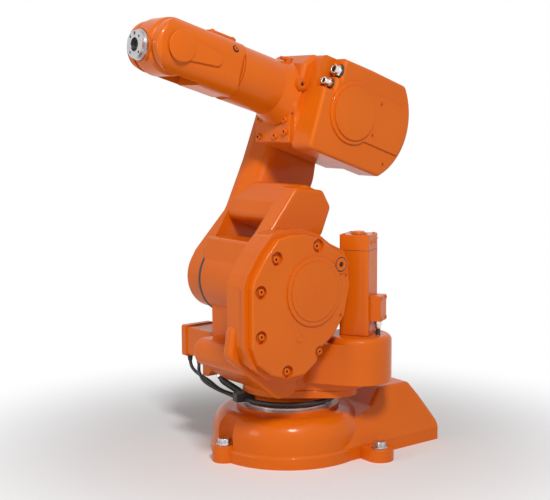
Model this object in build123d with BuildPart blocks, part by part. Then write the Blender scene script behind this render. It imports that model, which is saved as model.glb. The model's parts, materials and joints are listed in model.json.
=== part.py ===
# Compact six-axis industrial robot arm on a cast foot, standing in a working pose.
# Millimetres, Z up. The origin is on the floor at axis 1, X points to the front of the foot
# and Y to its left. The arm is turned a little about axis 1 and leans back, with its
# forearm raised.
import os
from math import asin, cos, degrees, radians, sin, tan
from build123d import *

# Driving sizes of the kinematic chain
axis_2_x = 70.0
axis_2_z = 352.0
lower_arm_length = 360.0
forearm_length = 380.0
flange_reach = 65.0

# Working pose
arm_turn = 4.5
quarter_turn = 90.0
lower_lean = 23.6
forearm_rise = 18.8
wrist_rise = 2.9

# Clearances
run_gap = 5.0
seat_gap = 0.4
overrun = 5.0

# Rounding of cast edges
cast_corner = 14.0
cast_round = 8.0

# Foot
foot_radius = 156.0
foot_rim_height = 22.0
foot_rim_step = 4.0
foot_rim_round = 3.0
shoulder_start_z = 50.0
shoulder_end_radius = 118.0
shoulder_end_z = 92.0
lip_radius = 104.0
foot_top_z = 99.0
tail_root_half_width = 152.0
tail_end_half_width = 132.0
tail_wall_slope = 27.0
tail_end_x = 292.0
tail_top_x = 236.0
tail_top_z = 125.0
tail_ramp_x = 158.0
tail_join_x = 122.0
tail_wall_height = 26.0
tail_wall_z = 44.0
tail_rear_shares = [(0.945, 0.55), (0.885, 0.76)]
tail_corner = 12.0
tail_top_half_width = tail_end_half_width - tail_wall_slope
front_bolt_x = 153.0
rear_bolt_x = 102.0
rear_bolt_y = 172.0
lug_radius = 28.0
lug_height = 24.0
front_lug_radius = 24.0
front_lug_height = 33.0
bolt_hole_radius = 8.75
pocket_radius = 26.0
pocket_height = 53.0
lip_round = 2.5

# Rear connector panel
panel_width = 230.0
panel_height = 32.0
panel_thickness = 4.0
panel_z = 23.0
plug_radius = 14.0
plug_length = 16.0
plug_chamfer = 2.0
plug_offset_y = 60.0
air_inlet_radius = 7.0
air_inlet_length = 14.0

# Neck and cable ring
neck_radius = 78.0
neck_seat_z = 104.0
neck_ring_radius = 90.0
neck_ring_bore = 80.0
foot_plate_z = 126.0
foot_plate_height = 16.0
foot_plate_radius = 92.0
foot_plate_reach_share = 0.62
gusset_reach_share = 0.7
foot_plate_round = 4.0
ring_cable_radius = 5.0
ring_path_radius = 97.0

# Frame column and barrel
barrel_far_y = -103.0
barrel_near_y = 43.0
barrel_radius = 76.0
barrel_crown = 9.0
barrel_top_reach = 56.0
barrel_front_reach = 69.0
barrel_front_rise = 15.0
barrel_low_reach = 58.0
barrel_low_drop = 40.0
barrel_top_z = axis_2_z + barrel_radius + barrel_crown
barrel_low_z = axis_2_z - barrel_low_drop
column_front_x = 128.0
column_rear_x = -16.0
column_far_y = -82.0
bowl_top_z = 238.0
bowl_front_x = 176.0
bowl_rear_x = -78.0
bowl_low_front_x = 96.0
bowl_low_rear_x = -70.0
bowl_corner = 22.0

# Axis 1 motor and its gear lobe
motor_1_x = -70.0
motor_1_y = 136.0
motor_1_width = 60.0
motor_1_turn = 28.0
motor_1_foot_z = 250.0
motor_1_seam_z = 418.0
motor_1_top_z = 448.0
lobe_radius = 66.0
lobe_foot_z = 158.0
lobe_chamfer = 12.0
motor_corner = 5.0
motor_dome_radius = 14.0
motor_dome_height = 5.0
motor_dome_taper = 30.0
socket_1_width = 34.0
socket_1_depth = 22.0
socket_1_z = 279.0
socket_1_height = 50.0

# Axis 2 motor
motor_2_rear_x = 42.0
motor_2_front_x = 110.0
motor_2_low_z = 176.0
motor_2_top_z = 236.0
motor_2_far_y = -200.0
motor_2_cap_length = 18.0
motor_2_cap_lip = 3.0
socket_2_width = 34.0
socket_2_height = 30.0
socket_2_chamfer = 14.0
gland_x = 95.0
gland_radius = 8.5
gland_length = 12.0
socket_2_x = 101.0
socket_2_y = -118.0

# Shoulder housing and its cover
housing_inner_y = 93.0
housing_skirt_y = 118.0
housing_face_y = 151.0
cover_thickness = 14.0
cap_rise = 1.5
cap_radius = 57.0
cover_margin = 5.0
cover_front_x = 215.0
cover_rear_x = -22.0
cover_low_z = 193.0
cover_high_z = 461.0
cover_width_shares = [
    1, 0.97, 0.86, 0.74, 0.62, 0.48, 0.3, 0.19, 0.04, 0, 0.06, 0.17, 0.29, 0.36, 0.48, 0.66, 0.8,
    0.94, 1,
]
cover_height_shares = [
    0.66, 0.73, 0.87, 0.98, 1, 1, 0.95, 0.88, 0.82, 0.6, 0.39, 0.26, 0.19, 0.08, 0.01, 0, 0.04,
    0.13, 0.25,
]
cover_corner = 9.0
cover_edge = 4.0
flange_margin = 4.0
flange_height = 10.0
pocket_depth = 8.0
screw_pocket_radius = 13.0
screw_pocket_shares = [
    (0.76, 0.85), (0.92, 0.63), (0.92, 0.32), (0.66, 0.05), (0.32, 0.15), (0.34, 0.91),
]
bearing_boss_radius = 66.0
bearing_boss_rise = 3.0
boss_x = 4.0
boss_z = 397.0
boss_radius = 18.0
boss_rise = 2.0
plug_rim = 6.0
plug_hex_radius = 6.0
skirt_front_x = 234.0
skirt_top_z = 300.0
skirt_low_z = 236.0

# Lower arm
far_disc_y = -152.0
far_disc_inner_y = -108.0
far_disc_radius = 69.0
strut_turn = 30.0
near_prong_inner_y = 48.0
near_prong_outer_y = 88.0
near_disc_radius = 104.0
prong_round = 7.0
hub_radius = 62.0
hump_front = 55.0
hump_front_height = 184.0
hump_top = 202.0
hump_top_back = 12.0
hump_rear = 44.0
hump_rear_height = 179.0
hump_waist_height = 124.0
prong_front = 99.0
prong_front_height = 30.0
hump_corner = 12.0
bridge_start = 112.0
bridge_top = 199.0
bridge_front = 50.0
bridge_ledge = 32.0
bridge_mid_height = 150.0
plate_outer_y = -120.0
plate_inner_y = -62.0
plate_front = 47.0
plate_rear = 104.0
plate_shoulder = 238.0
plate_neck_rear = 92.0
plate_neck = 287.0
plate_end_radius = 52.0
plate_bevel = 27.0
plate_bevel_y = -112.0
plate_bevel_round = 26.0
plate_round = 7.0
far_cap_thickness = 8.0
far_cap_radius = 60.0

# Upper arm housing
upper_far_y = -57.0
upper_mid_y = 60.0
upper_near_y = 116.0
upper_cover_thickness = 4.0
upper_rear_radius = 131.0
upper_rear_x = -25.0
upper_rear_z = 5.0
upper_front = 86.0
upper_bottom = 98.0
upper_top = 96.0
upper_front_top = 92.0
upper_corner = 12.0
upper_front_round = 20.0
upper_edge_round = 7.0
body_near_y = 63.0
body_bottom = 86.0
body_foot = 78.0
body_lean = 16.0
body_lean_top = 34.0
body_front = 106.0
body_front_low = 20.0
body_front_top = 66.0
body_round = 9.0
root_radius = 66.0
root_rise = 8.0
root_start = 98.0
root_end = 132.0
foot_flange_thickness = 7.0
foot_flange_near_y = 50.0
foot_flange_lip = 2.0
foot_flange_round = 3.0
notch_front = 50.0
notch_step = 10.0
notch_step_height = 53.0
notch_bottom = 26.0
notch_inner_y = 86.0
notch_round = 3.0
band_radius = 61.0
band_top = 53.0
band_bottom = 45.0
band_margin = 3.0
band_edge = 1.5
upper_cap_radius = 52.7
upper_cap_rise = 3.4
tube_rise = 16.4
tube_radius = 55.5
fitting_radius = 12.0
fitting_length = 14.0
small_fitting_radius = 9.0
small_fitting_length = 18.0
fitting_collar_share = 0.8
fitting_y = 103.0
fitting_large_z = 68.0
small_fitting_y = 99.0
small_fitting_z = 40.0
elbow_boss_y = 69.0
elbow_boss_radius = 12.0
elbow_plug_x = 104.0
elbow_plug_z = 24.0
elbow_plug_radius = 9.0

# Forearm fork
fork_length = 144.0
seal_run = 4.0
fork_half_height = 52.0
fork_half_width = 56.0
fork_end_radius = 50.0
fork_section_corner = 34.0
fork_slot_depth = 68.0
fork_root = 50.0
fork_edge = 9.0
prong_inner_y = 36.0
wrist_cover_thickness = 3.6
wrist_cover_radius = 23.0
wrist_cover_tail = 78.0
wrist_cover_tail_radius = 13.0
seal_radius = 53.0
hatch_margin = 6.0
hatch_length = 62.0
hatch_width = 46.0
hatch_rise = 7.0
hatch_round = 3.0
fork_start = forearm_length - fork_length
tube_end = fork_start - seal_run

# Tilt house and tool flange
tilt_radius = 53.0
tilt_half_width = 31.0
tilt_hub_radius = 30.0
tilt_nose_radius = 31.0
tilt_nose_reach = 52.0
tilt_edge = 10.0
flange_collar_radius = 28.0
flange_radius = 25.0
flange_collar_reach = 57.0
flange_bore_radius = 12.5
flange_bore_depth = 6.0
flange_pitch_radius = 20.0
flange_hole_radius = 2.5
flange_hole_depth = 9.0
flange_hole_count = 4
dowel_radius = 3.0

# Cables
lead_radius = 3.5
sleeve_radius = 7.0
arc_share = 0.45
clamp_angle = -14.0
clamp_length = 20.0
clamp_outer_radius = 117.0
ring_end_angle = 128.0
lead_entry_run = 26.0
long_lead_entry = (101.0, 113.0)
short_lead_entry = (110.0, 113.5)
sleeve_entry = (89.0, 117.5)
long_lead_points = [
    (96, -209, 173), (96, -209, 158), (97, -202, 147), (98, -184, 139), (105, -150, 137),
    (110, -118, 134), (108, -86, 121),
]
short_lead_points = [
    (104, -165, 176), (104, -165, 162), (110, -158, 150), (118, -142, 145), (127, -118, 137),
    (120, -86, 126),
]
sleeve_run = 10.6
boot_run = 14.0

os.makedirs("parts", exist_ok=True)

up = Vector(0, 0, 1)
forward = Vector(cos(radians(arm_turn)), sin(radians(arm_turn)), 0)
left = Vector(-sin(radians(arm_turn)), cos(radians(arm_turn)), 0)


def arm_point(x, y, z):
    """A point given in the turned frame of the arm."""
    return forward * x + left * y + up * z


def side_plane(x, z, rise):
    """The upright plane of the arm through (x, z): its own x axis rises by the angle."""
    tilt = radians(rise)
    return Plane(
        origin=arm_point(x, 0, z),
        x_dir=forward * cos(tilt) + up * sin(tilt),
        z_dir=left * -1,
    )


def at_y(plane, y):
    """The same plane moved to the left by y. Extruding from it goes to the right."""
    return plane.offset(-y)


def top_plane(x, y, z, angle=0):
    """A level plane at a point of the arm's frame, turned about its normal."""
    turn = radians(arm_turn + angle)
    return Plane(origin=arm_point(x, y, z), x_dir=(cos(turn), sin(turn), 0), z_dir=(0, 0, 1))


def cross_plane(side, x, y=0.0, z=0.0):
    """A plane across a link, at x along it: its own x axis points left, its y axis up."""
    return Plane(
        origin=side.from_local_coords(Vector(x, z, -y)),
        x_dir=left,
        z_dir=side.x_dir,
    )


def rounded_block(plane, outline, depth, corner, edge):
    """A cast block on a plane: the outline's corners and the edges of both faces are rounded."""
    with BuildPart() as block:
        with BuildSketch(plane) as face:
            if len(outline) == 1:
                Circle(outline[0])
            else:
                Polygon(*outline, align=None)
                fillet(face.vertices(), radius=corner)
        extrude(amount=depth)
        fillet(block.faces().filter_by(Axis(plane.origin, plane.z_dir)).edges(), radius=edge)
    return block.part


def save(name, piece):
    """Label a finished piece and write its file."""
    piece.part.label = name
    export_step(piece.part, "parts/" + name + ".step")


axis_3_x = axis_2_x - lower_arm_length * sin(radians(lower_lean))
axis_3_z = axis_2_z + lower_arm_length * cos(radians(lower_lean))
axis_5_x = axis_3_x + forearm_length * cos(radians(forearm_rise))
axis_5_z = axis_3_z + forearm_length * sin(radians(forearm_rise))

frame_side = side_plane(0, 0, 0)
lower_side = side_plane(axis_2_x, axis_2_z, lower_lean)
upper_side = side_plane(axis_3_x, axis_3_z, forearm_rise)
tube_side = side_plane(axis_3_x, axis_3_z, tube_rise)
tube_side.origin = (upper_side.from_local_coords(Vector(forearm_length, 0, 0))
                    - tube_side.x_dir * forearm_length)
wrist_side = side_plane(axis_5_x, axis_5_z, wrist_rise)

# Raised tail behind the foot: a side outline, narrowed upwards and to the rear
with BuildPart() as tail:
    with BuildSketch(Plane.XZ.offset(-tail_root_half_width)):
        Polygon(
            (0, 0),
            (-tail_end_x, 0),
            (-tail_end_x, tail_wall_z),
            *[(-tail_end_x * x, tail_top_z * z) for x, z in tail_rear_shares],
            (-tail_top_x, tail_top_z),
            (-tail_ramp_x, tail_top_z),
            (-tail_join_x, shoulder_end_z),
            (0, shoulder_start_z),
            align=None,
        )
    extrude(amount=2 * tail_root_half_width)
    for x, half_width in [(-tail_end_x, tail_end_half_width), (0, tail_root_half_width)]:
        with BuildSketch(Plane.YZ.offset(x)):
            Polygon(
                (-half_width, 0),
                (-half_width, tail_wall_height),
                (-tail_top_half_width, tail_top_z),
                (tail_top_half_width, tail_top_z),
                (half_width, tail_wall_height),
                (half_width, 0),
                align=None,
            )
    loft(ruled=True, mode=Mode.INTERSECT)
    upper_edges = tail.edges().filter_by_position(Axis.Z, tail_wall_z, tail_top_z)
    fillet(upper_edges.filter_by_position(Axis.X, -tail_end_x, -tail_join_x), radius=tail_corner)

# Foot casting: a turned shoulder, the raised tail and three bolted lugs
with BuildPart() as foot_casting:
    with BuildSketch(Plane.XZ) as shoulder_profile:
        with BuildLine():
            wall = foot_radius - foot_rim_step
            l1 = Polyline(
                (0, 0),
                (foot_radius, 0),
                (foot_radius, foot_rim_height),
                (wall, foot_rim_height + foot_rim_step),
                (wall, shoulder_start_z),
            )
            l2 = EllipticalCenterArc(
                (shoulder_end_radius, shoulder_start_z),
                wall - shoulder_end_radius,
                shoulder_end_z - shoulder_start_z,
                start_angle=0,
                arc_size=quarter_turn,
            )
            Polyline(
                l2 @ 1,
                (lip_radius, shoulder_end_z),
                (lip_radius, foot_top_z),
                (0, foot_top_z),
                (0, 0),
            )
        make_face()
        rim_corner = shoulder_profile.vertices().filter_by_position(Axis.X, foot_radius, foot_radius)
        fillet(rim_corner.sort_by(Axis.Z)[-1], radius=foot_rim_round)
        fillet(shoulder_profile.vertices().group_by(Axis.Z)[-1].sort_by(Axis.X)[-1],
               radius=lip_round)
    revolve(axis=Axis.Z)
    add(tail)
    with BuildSketch():
        for y, angle in [(rear_bolt_y, quarter_turn), (-rear_bolt_y, -quarter_turn)]:
            with Locations(Location((-rear_bolt_x, y, 0), (0, 0, angle))):
                Circle(lug_radius)
                Rectangle(2 * lug_radius, 2 * lug_radius, align=(Align.MAX, Align.CENTER))
    extrude(amount=lug_height)
    with BuildSketch():
        with Locations((front_bolt_x, 0)):
            Circle(front_lug_radius)
            Rectangle(2 * front_lug_radius, 2 * front_lug_radius, align=(Align.MAX, Align.CENTER))
    extrude(amount=front_lug_height)
    with BuildSketch(Plane.XY.offset(front_lug_height)):
        with Locations((front_bolt_x, 0)):
            Circle(pocket_radius)
            Rectangle(2 * pocket_radius, 2 * pocket_radius, align=(Align.MIN, Align.CENTER))
    extrude(amount=pocket_height, mode=Mode.SUBTRACT)
    with Locations(
        (front_bolt_x, 0, front_lug_height),
        (-rear_bolt_x, rear_bolt_y, lug_height),
        (-rear_bolt_x, -rear_bolt_y, lug_height),
    ):
        Hole(bolt_hole_radius, depth=front_lug_height)
save("foot_casting", foot_casting)

# Connector panel on the rear of the foot
panel_x = -tail_end_x
with BuildPart() as rear_panel:
    with BuildSketch(Plane(origin=(panel_x, 0, panel_z), x_dir=(0, 1, 0), z_dir=(-1, 0, 0))):
        RectangleRounded(panel_width, panel_height, panel_thickness)
    extrude(amount=panel_thickness)
save("rear_panel", rear_panel)

panel_plane = Plane(
    origin=(panel_x - panel_thickness, 0, panel_z), x_dir=(0, -1, 0), z_dir=(-1, 0, 0)
)
for name, y in [("power_connector", plug_offset_y), ("signal_connector", -plug_offset_y)]:
    with BuildPart() as connector:
        with BuildSketch(panel_plane):
            with Locations((y, 0)):
                Circle(plug_radius)
        extrude(amount=plug_length)
        chamfer(connector.edges().group_by(Axis.X)[0], length=plug_chamfer)
    save(name, connector)

with BuildPart() as air_inlet:
    with BuildSketch(panel_plane):
        RegularPolygon(air_inlet_radius, 6)
    extrude(amount=air_inlet_length / 2)
    with BuildSketch(panel_plane.offset(air_inlet_length / 2)):
        Circle(air_inlet_radius * fitting_collar_share)
    extrude(amount=air_inlet_length / 2)
save("air_inlet", air_inlet)

# Steel ring between the foot and the turning frame
with BuildPart() as neck_ring:
    with BuildSketch(Plane.XY.offset(foot_top_z)):
        Circle(neck_ring_radius)
        Circle(neck_ring_bore, mode=Mode.SUBTRACT)
    extrude(amount=neck_seat_z - foot_top_z)
save("neck_ring", neck_ring)

# Turning frame: neck, foot plate, bowl, column and the barrel that carries axis 2
bowl = rounded_block(
    at_y(frame_side, housing_inner_y),
    [
        (bowl_low_rear_x, foot_plate_z + foot_plate_height),
        (bowl_rear_x, bowl_top_z),
        (bowl_front_x, bowl_top_z),
        (bowl_front_x, bowl_top_z - 2 * bowl_corner),
        (bowl_low_front_x, foot_plate_z + foot_plate_height),
    ],
    housing_inner_y - column_far_y,
    bowl_corner,
    cast_round,
)
barrel_box = rounded_block(
    at_y(frame_side, barrel_near_y),
    [
        (axis_2_x, barrel_top_z),
        (axis_2_x + barrel_top_reach, barrel_top_z),
        (axis_2_x + barrel_front_reach, axis_2_z + barrel_front_rise),
        (axis_2_x + barrel_low_reach, barrel_low_z),
        (axis_2_x, barrel_low_z),
        (axis_2_x - barrel_radius + cast_corner, axis_2_z),
    ],
    barrel_near_y - barrel_far_y,
    cast_round,
    cast_round / 2,
)
with BuildPart() as frame_casting:
    with BuildSketch(top_plane(0, 0, foot_top_z + seat_gap)):
        Circle(neck_radius)
    extrude(amount=foot_plate_z - foot_top_z - seat_gap)
    with BuildSketch(top_plane(0, 0, foot_plate_z)):
        Circle(foot_plate_radius)
        with Locations((motor_1_x * foot_plate_reach_share, motor_1_y * foot_plate_reach_share)):
            Circle(lobe_radius - lobe_chamfer)
        make_hull()
    extrude(amount=foot_plate_height)
    fillet(frame_casting.faces().sort_by(Axis.Z)[-1].edges(), radius=foot_plate_round)
    with BuildSketch(top_plane(0, 0, foot_plate_z + foot_plate_height)):
        Circle(foot_plate_radius - run_gap)
        with Locations((motor_1_x * gusset_reach_share, motor_1_y * gusset_reach_share)):
            Circle(lobe_radius - lobe_chamfer)
        make_hull()
    extrude(amount=lobe_foot_z - foot_plate_z - foot_plate_height)
    with BuildSketch(top_plane(0, 0, lobe_foot_z)):
        with Locations((motor_1_x, motor_1_y)):
            Circle(lobe_radius)
        with Locations((0, housing_inner_y / 2)):
            Circle(lobe_radius - lobe_chamfer)
        make_hull()
    extrude(amount=bowl_top_z - lobe_foot_z)
    with BuildSketch(top_plane(motor_1_x, motor_1_y, bowl_top_z)):
        Circle(lobe_radius)
    extrude(amount=motor_1_foot_z - bowl_top_z)
    lobe_rim = frame_casting.faces().sort_by(Axis.Z)[-1].edges()
    fillet(lobe_rim, radius=motor_1_foot_z - bowl_top_z - seat_gap)
    add(bowl)
    with BuildSketch(at_y(frame_side, barrel_near_y)):
        Polygon(
            (column_rear_x, bowl_top_z),
            (column_front_x, bowl_top_z),
            (column_front_x, axis_2_z),
            (column_rear_x, axis_2_z),
            align=None,
        )
    extrude(amount=barrel_near_y - column_far_y)
    with BuildSketch(at_y(frame_side, barrel_near_y)):
        with Locations((axis_2_x, axis_2_z)):
            Circle(barrel_radius)
    extrude(amount=barrel_near_y - barrel_far_y)
    add(barrel_box)
save("frame_casting", frame_casting)

# Axis 1 motor, standing turned on the lobe
motor_1_plane = top_plane(motor_1_x, motor_1_y, motor_1_foot_z, motor_1_turn)
with BuildPart() as axis_1_motor:
    with BuildSketch(motor_1_plane):
        RectangleRounded(motor_1_width, motor_1_width, motor_corner)
    extrude(amount=motor_1_seam_z - motor_1_foot_z)
save("axis_1_motor", axis_1_motor)

with BuildPart() as axis_1_motor_cap:
    with BuildSketch(motor_1_plane.offset(motor_1_seam_z - motor_1_foot_z)):
        RectangleRounded(motor_1_width, motor_1_width, motor_corner)
    extrude(amount=motor_1_top_z - motor_1_seam_z)
    with BuildSketch(motor_1_plane.offset(motor_1_top_z - motor_1_foot_z)):
        Circle(motor_dome_radius)
    extrude(amount=motor_dome_height, taper=motor_dome_taper)
save("axis_1_motor_cap", axis_1_motor_cap)

with BuildPart() as axis_1_motor_socket:
    with BuildSketch(motor_1_plane.offset(socket_1_z - motor_1_foot_z)):
        with Locations((0, motor_1_width / 2)):
            Rectangle(socket_1_width, socket_1_depth, align=(Align.CENTER, Align.MIN))
    extrude(amount=socket_1_height)
save("axis_1_motor_socket", axis_1_motor_socket)

# Axis 2 motor, lying across the far side of the frame
motor_2_mid_x = (motor_2_front_x + motor_2_rear_x) / 2
motor_2_mid_z = (motor_2_top_z + motor_2_low_z) / 2
motor_2_width = motor_2_front_x - motor_2_rear_x
motor_2_height = motor_2_top_z - motor_2_low_z
with BuildPart() as axis_2_motor:
    with BuildSketch(at_y(frame_side, column_far_y)):
        with Locations((motor_2_mid_x, motor_2_mid_z)):
            RectangleRounded(motor_2_width, motor_2_height, motor_corner)
    extrude(amount=column_far_y - motor_2_far_y)
save("axis_2_motor", axis_2_motor)

with BuildPart() as axis_2_motor_cap:
    with BuildSketch(at_y(frame_side, motor_2_far_y)):
        with Locations((motor_2_mid_x, motor_2_mid_z)):
            RectangleRounded(
                motor_2_width + 2 * motor_2_cap_lip,
                motor_2_height + 2 * motor_2_cap_lip,
                motor_corner,
            )
    extrude(amount=motor_2_cap_length)
    chamfer(axis_2_motor_cap.faces().sort_by(Axis(arm_point(0, 0, 0), left))[0].edges(),
            length=motor_2_cap_lip)
save("axis_2_motor_cap", axis_2_motor_cap)

with BuildPart() as axis_2_motor_socket:
    with BuildSketch(top_plane(socket_2_x, socket_2_y, motor_2_low_z - socket_2_height)):
        RectangleRounded(socket_2_width, socket_2_width, motor_corner)
    extrude(amount=socket_2_height)
    gland_edge = Plane(
        origin=arm_point(
            gland_x,
            socket_2_y + (socket_2_width - socket_2_chamfer) / 2,
            motor_2_low_z - socket_2_height + socket_2_chamfer / 2,
        ),
        x_dir=forward,
        z_dir=left - up,
    )
    with BuildSketch(gland_edge):
        Rectangle(2 * socket_2_width, 2 * socket_2_width)
    extrude(amount=socket_2_height, mode=Mode.SUBTRACT)
save("axis_2_motor_socket", axis_2_motor_socket)

with BuildPart() as sleeve_gland:
    with BuildSketch(gland_edge):
        RegularPolygon(gland_radius, 6)
    extrude(amount=gland_length)
save("sleeve_gland", sleeve_gland)

# Shoulder housing on the near side, its screwed cover, the flat cap and the oil plug
cover_width = cover_front_x - cover_rear_x
cover_height = cover_high_z - cover_low_z
cover_points = [
    (cover_rear_x + cover_width * x, cover_low_z + cover_height * z)
    for x, z in zip(cover_width_shares, cover_height_shares)
]
skirt = rounded_block(
    at_y(frame_side, housing_skirt_y),
    [
        (axis_2_x, skirt_top_z),
        (skirt_front_x - bowl_corner / 2, skirt_top_z),
        (skirt_front_x, skirt_low_z),
        (bowl_low_front_x + bowl_corner, foot_plate_z + foot_plate_height),
        (axis_2_x, foot_plate_z + foot_plate_height),
    ],
    housing_skirt_y - housing_inner_y,
    bowl_corner,
    cast_round,
)
with BuildPart() as shoulder_housing:
    with BuildSketch(at_y(frame_side, housing_face_y)) as housing_outline:
        Polygon(*cover_points, align=None)
        fillet(housing_outline.vertices(), radius=cover_corner)
        offset(amount=cover_margin)
    extrude(amount=housing_face_y - housing_inner_y)
    with BuildSketch(at_y(frame_side, housing_face_y)) as flange_outline:
        Polygon(*cover_points, align=None)
        fillet(flange_outline.vertices(), radius=cover_corner)
        offset(amount=cover_margin + flange_margin)
    extrude(amount=flange_height)
    add(skirt)
save("shoulder_housing", shoulder_housing)

screw_places = [
    (cover_rear_x + cover_width * x, cover_low_z + cover_height * z)
    for x, z in screw_pocket_shares
]
with BuildPart() as shoulder_cover:
    with BuildSketch(at_y(frame_side, housing_face_y + cover_thickness)) as cover_outline:
        Polygon(*cover_points, align=None)
        fillet(cover_outline.vertices(), radius=cover_corner)
    extrude(amount=cover_thickness)
    front_face = shoulder_cover.faces().sort_by(Axis(arm_point(0, 0, 0), left))[-1]
    fillet(front_face.edges(), radius=cover_edge)
    with BuildSketch(at_y(frame_side, housing_face_y + cover_thickness)):
        with Locations(*screw_places):
            Circle(screw_pocket_radius)
    extrude(amount=pocket_depth, mode=Mode.SUBTRACT)
    with BuildSketch(at_y(frame_side, housing_face_y + cover_thickness + bearing_boss_rise)):
        with Locations((axis_2_x, axis_2_z)):
            Circle(bearing_boss_radius)
    extrude(amount=cover_thickness + bearing_boss_rise)
    with BuildSketch(at_y(frame_side, housing_face_y + cover_thickness + boss_rise)):
        with Locations((boss_x, boss_z)):
            Circle(boss_radius)
    extrude(amount=cover_thickness + boss_rise)
save("shoulder_cover", shoulder_cover)

with BuildPart() as shoulder_cap:
    cap_face_y = housing_face_y + cover_thickness + bearing_boss_rise + cap_rise
    with BuildSketch(at_y(frame_side, cap_face_y)):
        with Locations((axis_2_x, axis_2_z)):
            Circle(cap_radius)
    extrude(amount=cap_rise)
save("shoulder_cap", shoulder_cap)

with BuildPart() as shoulder_plug:
    plug_face_y = housing_face_y + cover_thickness + boss_rise + cap_rise
    with BuildSketch(at_y(frame_side, plug_face_y)):
        with Locations((boss_x, boss_z)):
            Circle(boss_radius - plug_rim)
            RegularPolygon(plug_hex_radius, 6, mode=Mode.SUBTRACT)
    extrude(amount=cap_rise)
save("shoulder_plug", shoulder_plug)

# Lower arm: the far strut leans in from its disc, the near prong ends in a hump, and a
# bridge over the barrel joins both to one plate up to axis 3
with BuildPart() as far_strut:
    with BuildSketch(at_y(lower_side, far_disc_inner_y)):
        Circle(far_disc_radius)
        Polygon(
            (bridge_front, bridge_start),
            (plate_front, bridge_mid_height),
            (-hump_rear, bridge_mid_height),
            (-hump_rear, bridge_start),
            align=None,
        )
        make_hull()
    extrude(amount=far_disc_inner_y - far_disc_y)
    with BuildSketch(cross_plane(lower_side, -2 * far_disc_radius)):
        Polygon(
            (far_disc_inner_y, -far_disc_radius),
            (far_disc_y, -far_disc_radius),
            (far_disc_y, strut_turn),
            (plate_outer_y, hump_waist_height),
            (plate_outer_y, bridge_mid_height),
            (far_disc_inner_y, bridge_mid_height),
            align=None,
        )
    extrude(amount=4 * far_disc_radius, mode=Mode.INTERSECT)

with BuildPart() as near_prong:
    with BuildSketch(at_y(lower_side, near_prong_outer_y)):
        with BuildSketch(mode=Mode.PRIVATE) as hump:
            Polygon(
                (hump_front, hump_front_height),
                (-hump_top_back, hump_top),
                (-hump_rear, hump_rear_height),
                (-hump_rear, hump_waist_height),
                (0, 0),
                (prong_front, prong_front_height),
                align=None,
            )
            fillet(hump.vertices().sort_by(Axis.Y)[-4:], radius=hump_corner)
        add(hump)
        Circle(near_disc_radius)
    extrude(amount=near_prong_outer_y - near_prong_inner_y)
    fillet(near_prong.faces().sort_by(Axis(arm_point(0, 0, 0), left))[-1].edges(),
           radius=prong_round)

bridge = rounded_block(
    at_y(lower_side, near_prong_outer_y - prong_round),
    [
        (bridge_front, bridge_start),
        (bridge_front, bridge_mid_height),
        (bridge_ledge, bridge_top),
        (-hump_top_back, bridge_top),
        (-hump_rear, bridge_mid_height),
        (-hump_rear, bridge_start),
    ],
    near_prong_outer_y - prong_round - plate_outer_y,
    cast_corner,
    prong_round,
)
with BuildPart() as plate:
    with BuildSketch(at_y(lower_side, plate_inner_y)) as plate_face:
        Polygon(
            (bridge_front, bridge_start),
            (plate_front, plate_shoulder),
            (plate_end_radius, lower_arm_length),
            (-plate_end_radius, lower_arm_length),
            (-plate_neck_rear, plate_neck),
            (-plate_rear, plate_shoulder),
            (-hump_rear, bridge_start),
            align=None,
        )
        fillet(plate_face.vertices(), radius=cast_corner)
    extrude(amount=plate_inner_y - plate_outer_y)
    across_plate = Plane(
        origin=lower_side.from_local_coords(Vector(0, bridge_start, 0)),
        x_dir=lower_side.x_dir,
        z_dir=lower_side.y_dir,
    )
    with BuildSketch(across_plate) as plate_section:
        Polygon(
            (-plate_rear, plate_inner_y),
            (plate_bevel, plate_inner_y),
            (plate_end_radius, plate_bevel_y),
            (plate_end_radius, plate_outer_y),
            (-plate_rear, plate_outer_y),
            align=None,
        )
        fillet(plate_section.vertices().filter_by_position(Axis.X, plate_bevel, plate_bevel),
               radius=plate_bevel_round)
        fillet(plate_section.vertices().group_by(Axis.X)[0], radius=plate_round)
    extrude(amount=lower_arm_length, mode=Mode.INTERSECT)

with BuildPart() as lower_arm_casting:
    add(far_strut)
    add(near_prong)
    add(bridge)
    add(plate)
    with BuildSketch(at_y(lower_side, plate_inner_y)):
        with Locations((0, lower_arm_length)):
            Circle(plate_end_radius)
    extrude(amount=plate_inner_y - plate_outer_y)
    with BuildSketch(at_y(lower_side, housing_inner_y - seat_gap)):
        Circle(hub_radius)
    extrude(amount=housing_inner_y - seat_gap - near_prong_outer_y)
save("lower_arm_casting", lower_arm_casting)

with BuildPart() as far_shoulder_cap:
    with BuildSketch(at_y(lower_side, far_disc_y)):
        Circle(far_cap_radius)
    extrude(amount=far_cap_thickness)
save("far_shoulder_cap", far_shoulder_cap)

with BuildPart() as shoulder_seal:
    with BuildSketch(at_y(lower_side, barrel_far_y - seat_gap)):
        Circle(far_disc_radius - run_gap)
    extrude(amount=barrel_far_y - seat_gap - far_disc_inner_y)
save("shoulder_seal", shoulder_seal)

with BuildPart() as elbow_gear_ring:
    with BuildSketch(at_y(upper_side, upper_far_y)):
        Circle(plate_end_radius - run_gap)
    extrude(amount=upper_far_y - plate_inner_y - seat_gap)
save("elbow_gear_ring", elbow_gear_ring)

# Upper arm: gear housing around axis 3, its body with the foot flange, and the tube


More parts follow.
